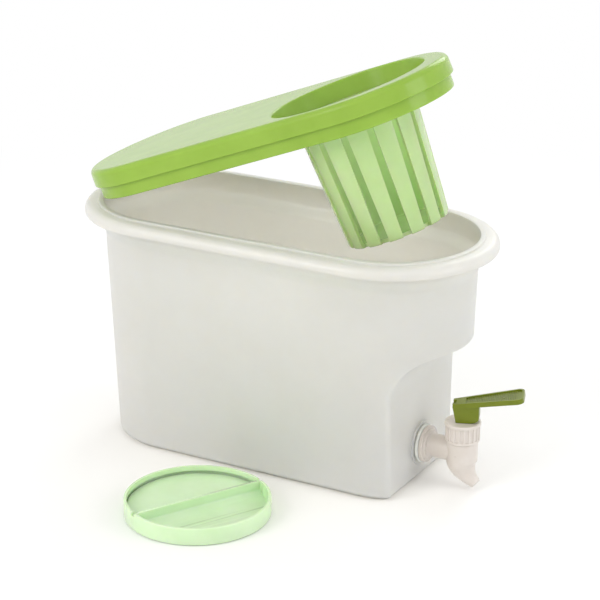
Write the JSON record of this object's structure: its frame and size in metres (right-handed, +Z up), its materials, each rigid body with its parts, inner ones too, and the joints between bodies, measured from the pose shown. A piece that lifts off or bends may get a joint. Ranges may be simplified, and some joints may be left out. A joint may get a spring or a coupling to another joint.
{
  "type": "fridge water dispenser",
  "caption": "Slim translucent tub with a lever tap at one cut-back end, a hinged-up tray lid that carries a slotted infuser basket, and the basket's loose round cover.",
  "frame": {"origin": "on the table under the tub, midway between the centres of its two round ends", "axes": "+X along the tub to the tap, +Y to the long side away from the loose cover, +Z up"},
  "size_m": [0.3211, 0.2379, 0.2881],
  "materials": {
    "tub_plastic": "milky translucent polypropylene, soft sheen",
    "lid_plastic": "glossy light green",
    "basket_plastic": "glossy light green",
    "cover_plastic": "glossy pale mint green",
    "tap_plastic": "white, soft sheen",
    "nut_plastic": "white, soft sheen",
    "valve_plastic": "white, smooth",
    "lever_plastic": "olive green, finely ribbed tray",
    "washer_rubber": "pale, matt",
    "seal_rubber": "pale, matt",
    "spring_steel": "drawn wire"
  },
  "bodies": {
    "tub_body": {"tub": "tub_plastic", "tap_body": "tap_plastic", "outer_washer": "washer_rubber", "inner_washer": "washer_rubber", "lock_nut": "nut_plastic", "bonnet_nut": "nut_plastic"},
    "lid_body": {"lid": "lid_plastic"},
    "basket_body": {"infuser_basket": "basket_plastic"},
    "cover_body": {"basket_cover": "cover_plastic"},
    "valve_body": {"valve_spring": "spring_steel"},
    "stem_body": {"valve_stem": "valve_plastic", "valve_seal": "seal_rubber"},
    "lever_body": {"lever": "lever_plastic"}
  },
  "joints": [
    {"name": "lid_tilt", "type": "hinge", "parent": "tub_body", "child": "lid_body", "pos_m": [-0.1539, -0.01026, 0.1645], "axis": [0.1357, -0.9907, 0], "range_deg": [-21.85, 38]},
    {"name": "basket_lift", "type": "slide", "parent": "lid_body", "child": "basket_body", "axis": [-0.3687, -0.0505, 0.9282], "range_m": [0, 0.11]},
    {"name": "cover_lift", "type": "slide", "parent": "tub_body", "child": "cover_body", "axis": [0, 0, 1], "range_m": [0, 0.15]},
    {"name": "lever_swivel", "type": "hinge", "parent": "tub_body", "child": "valve_body", "pos_m": [0.1325, 0, 0.0565], "axis": [0, 0, 1], "range_deg": [-130, 90]},
    {"name": "stem_lift", "type": "slide", "parent": "valve_body", "child": "stem_body", "axis": [0, 0, 1], "range_m": [0, 0.0021], "deforming": ["valve_spring"]},
    {"name": "lever_press", "type": "hinge", "parent": "stem_body", "child": "lever_body", "pos_m": [0.1325, 0, 0.0565], "axis": [-0.342, 0.9397, 0], "range_deg": [0, 25], "stiffness_Nm_per_rad": 0.02, "springref_deg": -20.05}
  ],
  "couplings": [
    {"joint": "lever_press", "follows": "stem_lift", "rad_per_m": 207.77}
  ]
}
